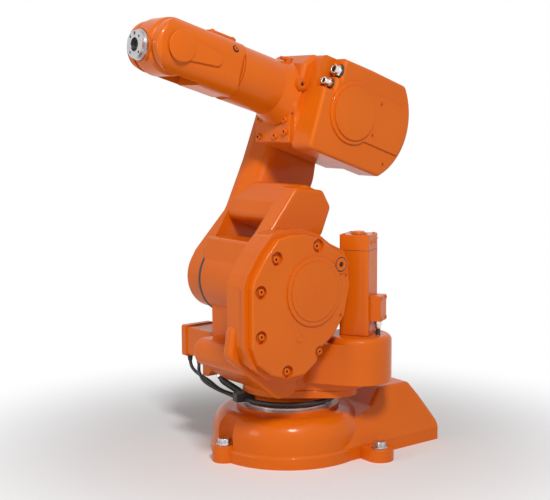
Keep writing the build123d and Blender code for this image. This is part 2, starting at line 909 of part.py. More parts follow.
def housing_side(radius, low, high, front_points):
    """The side of the housing: a round rear, cut level below and above, and a front outline."""
    with BuildSketch(mode=Mode.PRIVATE) as side:
        with Locations((upper_rear_x, upper_rear_z)):
            Circle(radius)
        Polygon(
            (upper_rear_x, -low),
            (upper_rear_x, high),
            (upper_rear_x - radius, high),
            (upper_rear_x - radius, -low),
            align=None,
            mode=Mode.INTERSECT,
        )
        Polygon((upper_rear_x, high), (upper_rear_x, -low), *front_points, align=None)
        fillet(side.vertices(), radius=upper_corner)
    return side.sketch


with BuildPart() as near_body:
    with BuildSketch(at_y(upper_side, upper_near_y)):
        add(housing_side(
            upper_rear_radius,
            upper_bottom,
            upper_top,
            [(upper_front, -upper_bottom), (upper_front, upper_front_top)],
        ))
    extrude(amount=upper_near_y - upper_mid_y)
    with BuildSketch(at_y(upper_side, upper_near_y + overrun)) as notch:
        Polygon(
            (notch_front, upper_top + overrun),
            (notch_front, notch_step_height),
            (notch_front + notch_step, notch_step_height),
            (notch_front + notch_step, notch_bottom),
            (upper_front + overrun, notch_bottom),
            (upper_front + overrun, upper_top + overrun),
            align=None,
        )
    extrude(amount=upper_near_y + overrun - notch_inner_y, mode=Mode.SUBTRACT)
    near_face = near_body.faces().sort_by(Axis(arm_point(0, 0, 0), left))[-1]
    fillet(near_face.edges(), radius=upper_edge_round)

with BuildPart() as middle_body:
    with BuildSketch(at_y(upper_side, body_near_y)):
        add(housing_side(
            upper_rear_radius - upper_edge_round,
            body_bottom,
            upper_top,
            [
                (body_foot, -body_bottom),
                (body_foot + body_lean, -body_lean_top),
                (body_front, -body_front_low),
                (body_front, body_front_top),
                (upper_front, upper_front_top),
            ],
        ))
    extrude(amount=body_near_y - upper_far_y)
    body_ends = middle_body.faces().filter_by(Axis(arm_point(0, 0, 0), left))
    fillet(body_ends.edges(), radius=body_round)

with BuildPart() as tube_root:
    with BuildSketch(cross_plane(upper_side, root_start)):
        with Locations((0, root_rise)):
            Circle(root_radius)
    with BuildSketch(cross_plane(tube_side, root_end)):
        Circle(tube_radius)
    loft()
    with BuildSketch(at_y(upper_side, upper_far_y)):
        with Locations((root_end, 0)):
            Rectangle(2 * root_end, 4 * root_radius)
    extrude(amount=root_radius, mode=Mode.SUBTRACT)

foot_flange = rounded_block(
    at_y(upper_side, foot_flange_near_y),
    [
        (body_foot - foot_flange_thickness, -body_bottom - foot_flange_lip),
        (body_foot + foot_flange_thickness, -body_bottom - foot_flange_lip),
        (body_foot + body_lean + foot_flange_thickness, -body_lean_top),
        (body_foot + body_lean - foot_flange_thickness, -body_lean_top),
    ],
    foot_flange_near_y - upper_far_y,
    foot_flange_round,
    foot_flange_round / 2,
)
with BuildPart() as upper_arm_housing:
    add(near_body)
    add(middle_body)
    add(tube_root)
    add(foot_flange)
    with BuildSketch(cross_plane(tube_side, root_start)):
        Circle(tube_radius)
    extrude(amount=tube_end - root_start)
    with BuildSketch(at_y(upper_side, elbow_boss_y)):
        with Locations((elbow_plug_x, elbow_plug_z)):
            Circle(elbow_boss_radius)
    extrude(amount=elbow_boss_y - foot_flange_near_y)
save("upper_arm_housing", upper_arm_housing)

with BuildPart() as upper_side_cover:
    with BuildSketch(at_y(upper_side, upper_near_y + upper_cover_thickness)):
        Circle(band_radius)
        Polygon(
            (0, -band_bottom),
            (0, band_top),
            (upper_rear_x - upper_rear_radius, band_top),
            (upper_rear_x - upper_rear_radius, -band_bottom),
            align=None,
        )
        with Locations((upper_rear_x, upper_rear_z)):
            Circle(upper_rear_radius - upper_edge_round - band_margin, mode=Mode.INTERSECT)
    extrude(amount=upper_cover_thickness)
    fillet(upper_side_cover.faces().sort_by(Axis(arm_point(0, 0, 0), left))[-1].edges(),
           radius=band_edge)
save("upper_side_cover", upper_side_cover)

with BuildPart() as upper_side_cap:
    with BuildSketch(at_y(upper_side, upper_near_y + upper_cover_thickness + upper_cap_rise)):
        Circle(upper_cap_radius)
    extrude(amount=upper_cap_rise)
save("upper_side_cap", upper_side_cap)

# Air fittings and oil plug on the shoulder of the upper arm housing
for name, x, y, z, radius, length in [
    ("air_fitting_large", notch_front, fitting_y, fitting_large_z, fitting_radius,
     fitting_length),
    ("air_fitting_small", notch_front + notch_step, small_fitting_y, small_fitting_z,
     small_fitting_radius, small_fitting_length),
]:
    with BuildPart() as fitting:
        with BuildSketch(cross_plane(upper_side, x, y, z)):
            RegularPolygon(radius, 6)
        extrude(amount=length / 2)
        with BuildSketch(cross_plane(upper_side, x + length / 2, y, z)):
            Circle(radius * fitting_collar_share)
        extrude(amount=length / 2)
    save(name, fitting)

with BuildPart() as elbow_plug:
    with BuildSketch(at_y(upper_side, elbow_boss_y + cap_rise)):
        with Locations((elbow_plug_x, elbow_plug_z)):
            Circle(elbow_plug_radius)
            RegularPolygon(plug_hex_radius, 6, mode=Mode.SUBTRACT)
    extrude(amount=cap_rise)
save("elbow_plug", elbow_plug)

# Forearm fork: turns on the tube about axis 4
with BuildPart() as forearm_fork:
    with BuildSketch(at_y(tube_side, fork_half_width)):
        Polygon(
            (fork_start, -fork_half_height),
            (fork_start, fork_half_height),
            (fork_start + fork_root, fork_half_height),
            (fork_start + fork_root, -fork_half_height),
            align=None,
        )
        with Locations((forearm_length, 0)):
            Circle(fork_end_radius)
        make_hull()
    extrude(amount=2 * fork_half_width)
    fork_ends = forearm_fork.faces().filter_by(Axis(arm_point(0, 0, 0), left))
    fillet(fork_ends.edges(), radius=fork_edge)
    with BuildSketch(cross_plane(tube_side, fork_start)):
        RectangleRounded(2 * fork_half_width, 2 * fork_half_height, fork_section_corner)
    extrude(amount=forearm_length + fork_end_radius - fork_start, mode=Mode.INTERSECT)
    with BuildSketch(at_y(tube_side, prong_inner_y)):
        with Locations((forearm_length - fork_slot_depth, 0)):
            Rectangle(forearm_length, 2 * fork_half_height + overrun,
                      align=(Align.MIN, Align.CENTER))
    extrude(amount=2 * prong_inner_y, mode=Mode.SUBTRACT)
save("forearm_fork", forearm_fork)

with BuildPart() as forearm_seal:
    with BuildSketch(cross_plane(tube_side, tube_end + seat_gap)):
        Circle(seal_radius)
    extrude(amount=fork_start - tube_end - seat_gap)
save("forearm_seal", forearm_seal)

for name, y in [("wrist_cover_left", fork_half_width + wrist_cover_thickness),
                ("wrist_cover_right", -fork_half_width)]:
    with BuildPart() as wrist_cover:
        with BuildSketch(at_y(tube_side, y)):
            with Locations((forearm_length, 0)):
                Circle(wrist_cover_radius)
            with Locations((forearm_length - wrist_cover_tail, 0)):
                Circle(wrist_cover_tail_radius)
            make_hull()
        extrude(amount=wrist_cover_thickness)
    save(name, wrist_cover)

with BuildPart() as forearm_hatch:
    hatch_plane = Plane(
        origin=tube_side.from_local_coords(
            Vector(fork_start + hatch_margin, fork_half_height, 0)),
        x_dir=tube_side.x_dir,
        z_dir=tube_side.y_dir,
    )
    with BuildSketch(hatch_plane):
        RectangleRounded(hatch_length, hatch_width, hatch_rise,
                         align=(Align.MIN, Align.CENTER))
    extrude(amount=hatch_rise)
    fillet(forearm_hatch.faces().filter_by(Axis(hatch_plane.origin, hatch_plane.z_dir))
           .sort_by(Axis(hatch_plane.origin, hatch_plane.z_dir))[-1].edges(), radius=hatch_round)
save("forearm_hatch", forearm_hatch)

# Tilt house on axis 5 and the tool flange on axis 6
with BuildPart() as tilt_house:
    with BuildSketch(at_y(wrist_side, tilt_half_width)):
        Circle(tilt_radius)
    extrude(amount=2 * tilt_half_width)
    fillet(tilt_house.edges(), radius=tilt_edge)
    with BuildSketch(at_y(wrist_side, prong_inner_y - seat_gap)):
        Circle(tilt_hub_radius)
    extrude(amount=2 * (prong_inner_y - seat_gap))
    with BuildSketch(cross_plane(wrist_side, 0)):
        Circle(tilt_nose_radius)
    extrude(amount=tilt_nose_reach)
    with BuildSketch(cross_plane(wrist_side, tilt_nose_reach)):
        Rectangle(2 * tilt_radius, 2 * tilt_radius)
    extrude(amount=tilt_radius, mode=Mode.SUBTRACT)
save("tilt_house", tilt_house)

with BuildPart() as tool_flange:
    with BuildSketch(cross_plane(wrist_side, tilt_nose_reach + seat_gap)):
        Circle(flange_collar_radius)
    extrude(amount=flange_collar_reach - tilt_nose_reach - seat_gap)
    with BuildSketch(cross_plane(wrist_side, flange_collar_reach)):
        Circle(flange_radius)
    extrude(amount=flange_reach - flange_collar_reach)
    flange_face = cross_plane(wrist_side, flange_reach)
    with Locations(flange_face):
        Hole(flange_bore_radius, depth=flange_bore_depth)
        with PolarLocations(flange_pitch_radius, flange_hole_count, start_angle=45):
            Hole(flange_hole_radius, depth=flange_hole_depth)
        with Locations((0, flange_pitch_radius)):
            Hole(dowel_radius, depth=flange_bore_depth)
save("tool_flange", tool_flange)


def cable(name, points, radius):
    """A round cable along straight runs joined by arcs as large as the runs allow."""
    radii = []
    for a, b, c in zip(points, points[1:], points[2:]):
        turn = (b - a).get_angle(c - b)
        run = min((b - a).length, (c - b).length)
        radii.append(arc_share * run / tan(radians(turn / 2)))
    print(name, "arc radii", [round(r, 1) for r in radii])
    with BuildPart() as piece:
        with BuildLine():
            path = FilletPolyline(*points, radius=radii)
        with BuildSketch(Plane(origin=path @ 0, z_dir=path % 0)):
            Circle(radius)
        sweep()
    save(name, piece)


# Clamp that gathers the leads at the front of the neck
with BuildPart() as cable_clamp:
    with BuildSketch(top_plane(0, 0, neck_seat_z + run_gap, clamp_angle)):
        Rectangle(clamp_outer_radius, clamp_length, align=(Align.MIN, Align.CENTER))
        Circle(neck_radius + seat_gap, mode=Mode.SUBTRACT)
    extrude(amount=foot_plate_z - neck_seat_z - run_gap)
save("cable_clamp", cable_clamp)


def clamp_entry(radius, z):
    """The last run of a lead: level and square onto the rear face of the clamp."""
    turn = radians(clamp_angle)
    out = Vector(cos(turn), sin(turn), 0) * radius
    along = Vector(-sin(turn), cos(turn), 0)
    ends = [out - along * (clamp_length / 2 + lead_entry_run), out - along * (clamp_length / 2)]
    return [arm_point(p.X, p.Y, z) for p in ends]


# Motor leads, the sleeve from the socket, the cable round the neck and its boot
for name, points, entry, radius in [
    ("long_motor_lead", long_lead_points, long_lead_entry, lead_radius),
    ("short_motor_lead", short_lead_points, short_lead_entry, lead_radius),
    ("lead_sleeve", [], sleeve_entry, sleeve_radius),
]:
    route = [arm_point(*point) for point in points] or [
        gland_edge.origin + gland_edge.z_dir * gland_length,
        gland_edge.origin + gland_edge.z_dir * (gland_length + sleeve_run),
    ]
    cable(name, route + clamp_entry(*entry), radius)
clamp_half_angle = degrees(asin(clamp_length / 2 / (ring_path_radius - ring_cable_radius)))
ring_start_angle = arm_turn + clamp_angle + clamp_half_angle
with BuildPart() as neck_cable:
    with BuildLine():
        ring_path = CenterArc(
            (0, 0, neck_seat_z + run_gap + ring_cable_radius),
            ring_path_radius,
            start_angle=ring_start_angle,
            arc_size=arm_turn + ring_end_angle - ring_start_angle,
        )
    with BuildSketch(Plane(origin=ring_path @ 0, z_dir=ring_path % 0)):
        Circle(ring_cable_radius)
    sweep()
save("neck_cable", neck_cable)
ring_end = ring_path @ 1
boot_turn = ring_end + (ring_path % 1) * boot_run
boot_top = Vector(boot_turn.X, boot_turn.Y, foot_plate_z)
cable("cable_boot", [ring_end, boot_turn, boot_top], ring_cable_radius)
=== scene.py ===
"""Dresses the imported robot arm: enamel, steel and rubber finishes, screws, bolts, seals and leads.

Metres, Z up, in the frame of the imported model. Each operator makes one group of pieces as
surfaces worked out with numpy, and each piece rides on the link that carries it. Profiles,
outlines and places on a link are in millimetres.
"""
import json
import math

import bpy
import numpy as np
from mathutils import Matrix, Vector


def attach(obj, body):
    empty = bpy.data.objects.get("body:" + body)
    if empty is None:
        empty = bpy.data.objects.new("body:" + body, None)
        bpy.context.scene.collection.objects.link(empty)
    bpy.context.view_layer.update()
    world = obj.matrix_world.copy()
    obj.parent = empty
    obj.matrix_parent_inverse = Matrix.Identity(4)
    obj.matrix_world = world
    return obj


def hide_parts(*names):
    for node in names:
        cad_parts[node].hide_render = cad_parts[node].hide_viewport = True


bl_info = {
    "name": "Robot Arm Dressing",
    "version": (1, 0, 0),
    "blender": (4, 5, 0),
    "location": "3D View > Sidebar > Robot Arm",
    "description": "Finishes and small pieces for a six-axis industrial robot arm",
    "category": "Object",
}

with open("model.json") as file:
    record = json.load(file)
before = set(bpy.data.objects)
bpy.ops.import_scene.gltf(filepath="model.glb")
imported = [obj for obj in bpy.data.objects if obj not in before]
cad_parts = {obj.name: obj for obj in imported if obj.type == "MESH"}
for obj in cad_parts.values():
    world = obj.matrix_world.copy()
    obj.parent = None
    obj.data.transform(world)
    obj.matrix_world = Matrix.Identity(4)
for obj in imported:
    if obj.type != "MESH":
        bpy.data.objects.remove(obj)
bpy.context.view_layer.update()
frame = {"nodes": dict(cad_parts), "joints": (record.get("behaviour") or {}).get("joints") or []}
joints = {joint["name"]: joint for joint in frame["joints"]}

MM = 0.001
UP = np.array((0.0, 0.0, 1.0))
LEFT = -np.array(joints["axis_3"]["axis"])
FORWARD = np.cross(LEFT, UP)
BACK_OF_FOOT = np.array((-1.0, 0.0, 0.0))

HEX = 6
# How far small pieces reach into their seats, in millimetres
SINK = 0.2
DEEP_SINK = 0.3
SHARP_EDGE = math.radians(32)


# Places on the links

def unit(vector):
    """The vector at length one."""
    return np.asarray(vector, float) / np.linalg.norm(vector)


class Link:
    """A link seen from the arm's left: x along it, y to the left, z square to both."""

    def __init__(self, origin, along):
        self.origin = np.asarray(origin, float)
        self.along = unit(along)
        self.rise = np.cross(self.along, LEFT)

    def place(self, x, y, z):
        """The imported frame's point for millimetres on the link."""
        return self.origin + MM * (x * self.along + y * LEFT + z * self.rise)

    def direction(self, x, y, z):
        """A unit vector for a direction on the link."""
        return unit(x * self.along + y * LEFT + z * self.rise)


shoulder_place = np.array(joints["axis_2"]["pos_m"])
elbow_place = np.array(joints["axis_3"]["pos_m"])
wrist_place = np.array(joints["axis_5"]["pos_m"])
tube_direction = unit(joints["axis_4"]["axis"])
tube_reach = np.linalg.norm(wrist_place - elbow_place)

COLUMN = Link((0, 0, 0), FORWARD)
LOWER_ARM = Link(shoulder_place, FORWARD)
UPPER_ARM = Link(elbow_place, wrist_place - elbow_place)
TUBE = Link(wrist_place - tube_reach * tube_direction, tube_direction)
WRIST = Link(wrist_place, joints["axis_6"]["axis"])


# Surfaces

def ring_faces(rings, steps):
    """Quads between neighbouring rings of a grid, each ring closed on itself."""
    row, step = np.meshgrid(np.arange(rings - 1), np.arange(steps), indexing="ij")
    here = row * steps + step
    beside = row * steps + (step + 1) % steps
    return np.stack((here, beside, beside + steps, here + steps), -1).reshape(-1, 4)


def closed_shell(rings):
    """Points and faces of a stack of rings whose two ends are closed by a fan to their middle."""
    count, steps = rings.shape[:2]
    grid = rings.reshape(-1, 3)
    points = np.concatenate((grid, rings[0].mean(0)[None], rings[-1].mean(0)[None]))
    step = np.arange(steps)
    beside = (step + 1) % steps
    last = (count - 1) * steps
    first_fan = np.stack((np.full(steps, len(grid)), beside, step), -1)
    last_fan = np.stack((np.full(steps, len(grid) + 1), last + step, last + beside), -1)
    return points, [ring_faces(count, steps), first_fan, last_fan]


def turned(profile, place, axis, steps=36):
    """A profile of (radius, height, corners) rows carried round an axis, both ends closed.

    A row without corners is a circle. A row with k corners is the polygon through its radius:
    r cos(pi / k) / cos((angle mod 2 pi / k) - pi / k).
    """
    axis = unit(axis)
    side = unit(np.cross(axis, UP if abs(axis @ UP) < 0.9 else FORWARD))
    other = np.cross(axis, side)
    rows = np.array([(*row, 0)[:3] for row in profile], float)[:, :, None]
    radius, height, corners = rows[:, 0], rows[:, 1], rows[:, 2]
    angle = np.arange(steps)[None, :] * 2 * np.pi / steps
    half_sector = np.pi / np.maximum(corners, 3)
    polygon = np.cos(half_sector) / np.cos(angle % (2 * half_sector) - half_sector)
    reach = MM * radius * np.where(corners > 0, polygon, 1.0)
    rings = (
        np.asarray(place)
        + (reach * np.cos(angle))[..., None] * side
        + (reach * np.sin(angle))[..., None] * other
        + (MM * height * np.ones_like(angle))[..., None] * axis
    )
    return closed_shell(rings)


def band(outline, section, place, across, upward):
    """A closed section of (offset, height) rows carried round a closed outline.

    Each row is the outline moved by offset along its own normal and by height along the axis
    that is square to across and upward.
    """
    across, upward = unit(across), unit(upward)
    axis = np.cross(across, upward)
    tangent = np.roll(outline, -1, 0) - np.roll(outline, 1, 0)
    normal = np.stack((tangent[:, 1], -tangent[:, 0]), -1)
    normal /= np.linalg.norm(normal, axis=1)[:, None]
    rows = np.array([*section, section[0]], float)
    flat = outline[None] + rows[:, 0, None, None] * normal[None]
    rings = (
        np.asarray(place)
        + MM * flat[..., :1] * across
        + MM * flat[..., 1:] * upward
        + MM * rows[:, 1, None, None] * axis
    )
    count, steps = len(section), len(outline)
    faces = ring_faces(count + 1, steps) % (count * steps)
    return rings[:-1].reshape(-1, 3), [faces]


def rounded_square(width, corner, steps=8):
    """Points of a square with round corners: quarter circles about four inner centres."""
    angle = np.linspace(0, np.pi / 2, steps)
    arcs = []
    for quarter, signs in enumerate(((1, 1), (-1, 1), (-1, -1), (1, -1))):
        turn = angle + quarter * np.pi / 2
        middle = np.array(signs) * (width / 2 - corner)
        arcs.append(middle + corner * np.stack((np.cos(turn), np.sin(turn)), -1))
    return np.concatenate(arcs)


def circle(radius, steps=72):
    """Points of a circle."""
    angle = np.arange(steps) * 2 * np.pi / steps
    return radius * np.stack((np.cos(angle), np.sin(angle)), -1)


def seal_section(half_width, rise):
    """A low rounded seal: half an ellipse that stands on its base line."""
    angle = np.linspace(0, np.pi, 7)
    return [(half_width * math.cos(a), rise * math.sin(a)) for a in angle]


def piece(name, parts, finish, body):
    """Makes one object of closed surfaces with its finish, riding on a body of the frame."""
    points, faces, start = [], [], 0
    for corners, groups in parts:
        points.append(corners)
        for group in groups:
            faces += (group + start).tolist()
        start += len(corners)
    mesh = bpy.data.meshes.new(name)
    mesh.from_pydata(np.concatenate(points).tolist(), [], faces)
    mesh.update()
    mesh.shade_smooth()
    mesh.set_sharp_from_angle(angle=SHARP_EDGE)
    mesh.materials.append(material(finish))
    made = bpy.data.objects.new(name, mesh)
    bpy.context.scene.collection.objects.link(made)
    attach(made, body)


# Finishes

NODE_FINISHES = {
    "steel": ("neck_ring", "tool_flange", "elbow_gear_ring"),
    "nickel": (
        "power_connector", "signal_connector", "air_inlet", "air_fitting_large",
        "air_fitting_small", "sleeve_gland",
    ),
    "rubber": (
        "lead_sleeve", "neck_cable", "cable_boot", "cable_clamp", "shoulder_seal",
        "long_motor_lead", "short_motor_lead",
    ),
}

NOISE_LOW, NOISE_HIGH = 0.3, 0.7
BEVEL_SAMPLES = 4
# Sockets of the colour mix, which shares their names with its other kinds
MIX_SHARE, MIX_FIRST, MIX_SECOND, MIX_COLOUR = 0, 6, 7, 2


def plain(name):
    """A new node material, its tree and its principled shader."""
    made = bpy.data.materials.new(name)
    made.use_nodes = True
    return made, made.node_tree, made.node_tree.nodes["Principled BSDF"]


def noise(tree, waves, detail=2.0, stretch=(1.0, 1.0, 1.0)):
    """The value of a noise on the object's own coordinates, with so many waves to the metre."""
    nodes, links = tree.nodes, tree.links
    place = nodes.new("ShaderNodeTexCoord")
    mapping = nodes.new("ShaderNodeMapping")
    mapping.inputs["Scale"].default_value = stretch
    texture = nodes.new("ShaderNodeTexNoise")
    texture.inputs["Scale"].default_value = waves
    texture.inputs["Detail"].default_value = detail
    links.new(place.outputs["Object"], mapping.inputs["Vector"])
    links.new(mapping.outputs["Vector"], texture.inputs["Vector"])
    return texture.outputs["Fac"]


def spread(tree, value, low, high):
    """A noise's usual values spread from low to high."""
    node = tree.nodes.new("ShaderNodeMapRange")
    node.inputs["From Min"].default_value = NOISE_LOW
    node.inputs["From Max"].default_value = NOISE_HIGH
    node.inputs["To Min"].default_value = low
    node.inputs["To Max"].default_value = high
    tree.links.new(value, node.inputs["Value"])
    return node.outputs["Result"]


def blend(tree, value, first, second):
    """A colour between two, by a value from 0 to 1."""
    node = tree.nodes.new("ShaderNodeMix")
    node.data_type = "RGBA"
    node.inputs[MIX_FIRST].default_value = (*first, 1)
    node.inputs[MIX_SECOND].default_value = (*second, 1)
    tree.links.new(value, node.inputs[MIX_SHARE])
    return node.outputs[MIX_COLOUR]


def coloured(name, waves, first, second):
    """A new material, its tree and its shader, whose colour drifts between two on a noise."""
    made, tree, shader = plain(name)
    drift = spread(tree, noise(tree, waves), 0, 1)
    tree.links.new(blend(tree, drift, first, second), shader.inputs["Base Color"])
    return made, tree, shader


def roughen(tree, shader, value, low, high):
    """Lets the roughness follow a noise from low to high."""
    tree.links.new(spread(tree, value, low, high), shader.inputs["Roughness"])


def relieve(tree, shader, value, depth, strength, edge=0.0):
    """Bumps of that depth in metres, over edges softened by a small radius."""
    bump = tree.nodes.new("ShaderNodeBump")
    bump.inputs["Distance"].default_value = depth
    bump.inputs["Strength"].default_value = strength
    tree.links.new(value, bump.inputs["Height"])
    if edge:
        soft = tree.nodes.new("ShaderNodeBevel")
        soft.samples = BEVEL_SAMPLES
        soft.inputs["Radius"].default_value = edge
        tree.links.new(soft.outputs["Normal"], bump.inputs["Normal"])
    tree.links.new(bump.outputs["Normal"], shader.inputs["Normal"])


def enamel():
    """Sprayed orange enamel: slow drift of shade, fine orange peel, a thin clear gloss."""
    look = bpy.context.scene.robot_finish
    gloss_change = 0.04
    made, tree, shader = coloured("orange_enamel", 5.0, look.enamel_deep, look.enamel_bright)
    roughen(
        tree, shader, noise(tree, 60.0, 4.0), look.enamel_rough - gloss_change,
        look.enamel_rough + gloss_change,
    )
    relieve(tree, shader, noise(tree, 700.0, 1.0), 0.0001, 0.25, look.edge_softness)
    shader.inputs["Specular IOR Level"].default_value = 0.12
    shader.inputs["Coat Weight"].default_value = look.enamel_coat
    shader.inputs["Coat Roughness"].default_value = 0.04
    return made


def rubber():
    """Matt black rubber with a fine moulded grain."""
    made, tree, shader = coloured(
        "moulded_rubber", 40.0, (0.012, 0.012, 0.013), (0.03, 0.03, 0.032)
    )
    roughen(tree, shader, noise(tree, 200.0), 0.42, 0.6)
    relieve(tree, shader, noise(tree, 1500.0), 0.0001, 0.4)
    return made


def black_and_painted_shade():
    """Near-black steel: painted shade at the bottom of screw sockets, plug sockets, the fork screw's
    pocket and the air fitting bores, and the dark ring of the tool flange's seat.
    """
    made, tree, shader = coloured(
        "black_steel_and_painted_shade", 300.0, (0.008, 0.005, 0.005), (0.03, 0.014, 0.01)
    )
    roughen(tree, shader, noise(tree, 500.0), 0.35, 0.55)
    shader.inputs["Metallic"].default_value = 0.6
    return made


def steel():
    """Turned steel: faint rings of the tool and small changes of gloss."""
    made, tree, shader = coloured("turned_steel", 30.0, (0.5, 0.5, 0.51), (0.64, 0.64, 0.65))
    rings = noise(tree, 60.0, 3.0, (1.0, 1.0, 30.0))
    roughen(tree, shader, rings, 0.2, 0.36)
    relieve(tree, shader, rings, 0.0002, 0.12, 0.0006)
    shader.inputs["Metallic"].default_value = 1.0
    return made


def nickel():
    """Bright nickel plate with faint handling haze."""
    made, tree, shader = coloured("nickel_plate", 80.0, (0.66, 0.64, 0.6), (0.8, 0.79, 0.76))
    roughen(tree, shader, noise(tree, 250.0, 3.0), 0.08, 0.2)
    relieve(tree, shader, noise(tree, 400.0), 0.0001, 0.1, 0.0005)
    shader.inputs["Metallic"].default_value = 1.0
    return made


MAKERS = {"enamel": enamel, "rubber": rubber, "black_and_painted_shade": black_and_painted_shade, "steel": steel, "nickel": nickel}
made_finishes = {}


def material(finish):
    """The finish's material, made once."""
    if finish not in made_finishes:
        made_finishes[finish] = MAKERS[finish]()
    return made_finishes[finish]


# Fixings

def screw_head(place, axis, radius, height, socket, depth):
    """A cap screw head with a six-cornered socket, from its seat upwards."""
    edge = radius * 0.14
    break_edge = 0.3 * edge
    lead_in, funnel = socket * 1.12, 0.3
    return turned(
        [
            (radius * 0.5, -DEEP_SINK), (radius, -DEEP_SINK), (radius, height - edge),
            (radius - break_edge, height - break_edge), (radius - edge, height),
            (lead_in, height), (socket, height - funnel, HEX), (socket, height - depth, HEX),
            (socket * 0.3, height - depth, HEX),
        ],
        place, axis,
    )


def socket_shade_disc(place, axis, height, socket, depth):
    """A dark disc deep in a screw's socket: painted shade for the hollow of the socket."""
    inner, outer = socket * 0.3, socket * 0.94
    low, high = height - depth + 0.1, height - 0.45 * depth
    return turned(
        [(inner, low, HEX), (outer, low, HEX), (outer, high, HEX), (inner, high, HEX)],
        place, axis, steps=24,
    )


def washer(place, axis, radius, thickness):
    """A flat washer with broken edges."""
    edge = 0.3 * thickness
    hole = radius * 0.3
    return turned(
        [
            (hole, -SINK), (radius - edge, -SINK), (radius, edge), (radius, thickness - edge),
            (radius - edge, thickness), (hole, thickness),
        ],
        place, axis,
    )


def hex_bolt(place, axis, radius, height):
    """A six-cornered bolt head whose corners are cut by a shallow cone."""
    core, cone_share = radius * 0.4, 0.86
    return turned(
        [
            (core, -SINK, HEX), (radius, -SINK, HEX), (radius, height * cone_share, HEX),
            (radius * cone_share, height), (core, height),
        ],
        place, axis, steps=48,
    )


def screw_set(name, places, sizes, finish, body, washer_thickness=0.0):
    """Makes like screws as two pieces, heads and the painted shade in their sockets; a thickness
    puts washers under them.
    """
    radius, height, socket, depth = sizes
    washer_share = 1.35
    heads, shade_discs = [], []
    for place, axis in places:
        seat = np.asarray(place) + MM * washer_thickness * unit(axis)
        if washer_thickness:
            heads.append(washer(place, axis, radius * washer_share, washer_thickness))
        heads.append(screw_head(seat, axis, radius, height, socket, depth))
        # Each socket gets a dark disc, painted shade for its hollow.
        shade_discs.append(socket_shade_disc(seat, axis, height, socket, depth))
    piece(name, heads, finish, body)
    piece(name + "_socket_shades", shade_discs, "black_and_painted_shade", body)


class FinishSettings(bpy.types.PropertyGroup):
    """Colours and gloss of the enamel."""

    enamel_bright: bpy.props.FloatVectorProperty(
        name="Bright Enamel", description="Enamel where it is lightest", size=3,
        default=(0.74, 0.142, 0.003), subtype="COLOR", min=0.0, max=1.0,
    )
    enamel_deep: bpy.props.FloatVectorProperty(
        name="Deep Enamel", description="Enamel where it is deepest", size=3,
        default=(0.68, 0.122, 0.002), subtype="COLOR", min=0.0, max=1.0,
    )
    enamel_rough: bpy.props.FloatProperty(
        name="Enamel Roughness", description="Roughness under the clear coat", default=0.34,
        min=0.04, max=1.0, subtype="FACTOR",
    )
    enamel_coat: bpy.props.FloatProperty(
        name="Clear Coat", description="Weight of the glossy top layer", default=0.22,
        min=0.0, max=1.0, subtype="FACTOR",
    )
    edge_softness: bpy.props.FloatProperty(
        name="Edge Softness", description="Radius that paint gives to sharp edges",
        default=0.0012, min=0.0, subtype="DISTANCE", unit="LENGTH",
    )


class FixingSettings(bpy.types.PropertyGroup):
    """Sizes of screws and bolts in millimetres."""

    cover_screw: bpy.props.FloatVectorProperty(
        name="Cover Screw", description="Head radius, head height, socket radius, socket depth",
        size=4, default=(6.2, 5.4, 2.9, 3.6),
    )
    small_screw: bpy.props.FloatVectorProperty(
        name="Small Screw", description="Head radius, head height, socket radius, socket depth",
        size=4, default=(3.6, 1.6, 1.9, 1.4),
    )
    flange_screw: bpy.props.FloatVectorProperty(
        name="Flange Screw", description="Head radius, head height, socket radius, socket depth",
        size=4, default=(6.5, 5.5, 3.2, 3.6),
    )
    foot_bolt_radius: bpy.props.FloatProperty(
        name="Foot Bolt Radius", description="Corner radius of the foot bolts, millimetres",
        default=13.0, min=9.0,
    )
    foot_bolt_height: bpy.props.FloatProperty(
        name="Foot Bolt Height", description="Height of the foot bolt heads, millimetres",
        default=10.0, min=4.0,
    )


class StageSettings(bpy.types.PropertyGroup):
    """Camera, lamps and floor."""

    camera_place: bpy.props.FloatVectorProperty(
        name="Camera Place", description="Where the camera stands", size=3,
        default=(1.3330, 1.9157, 0.7002), subtype="TRANSLATION", unit="LENGTH",
    )
    camera_heading: bpy.props.FloatProperty(
        name="Camera Heading", description="Direction of view about the upright",
        default=math.radians(235.76), subtype="ANGLE", unit="ROTATION",
    )
    camera_pitch: bpy.props.FloatProperty(
        name="Camera Pitch", description="Slope of the view, down is negative",
        default=math.radians(-7.12), subtype="ANGLE", unit="ROTATION",
    )
    camera_roll: bpy.props.FloatProperty(
        name="Camera Roll", description="Lean of the picture",
        default=math.radians(-0.31), subtype="ANGLE", unit="ROTATION",
    )
    focal_pixels: bpy.props.FloatProperty(
        name="Focal Length", description="Focal length in pixels of the picture's width",
        default=1167.8,
    )
    picture_width: bpy.props.FloatProperty(
        name="Picture Width", description="Width of the picture in pixels", default=550.0,
    )
    sky_strength: bpy.props.FloatProperty(
        name="Sky Strength", description="Light of the surrounding studio", default=0.26,
        min=0.0,
    )
    key_watts: bpy.props.FloatProperty(
        name="Key Lamp", description="Power of the lamp above the camera", default=52.0,
        min=0.0, unit="POWER",
    )
    fill_watts: bpy.props.FloatProperty(
        name="Fill Lamp", description="Power of the lamp on the arm's front side", default=10.0,
        min=0.0, unit="POWER",
    )
    floor_radius: bpy.props.FloatProperty(
        name="Floor Radius", description="Radius of the pale floor", default=9.0, min=1.0,
        unit="LENGTH",
    )


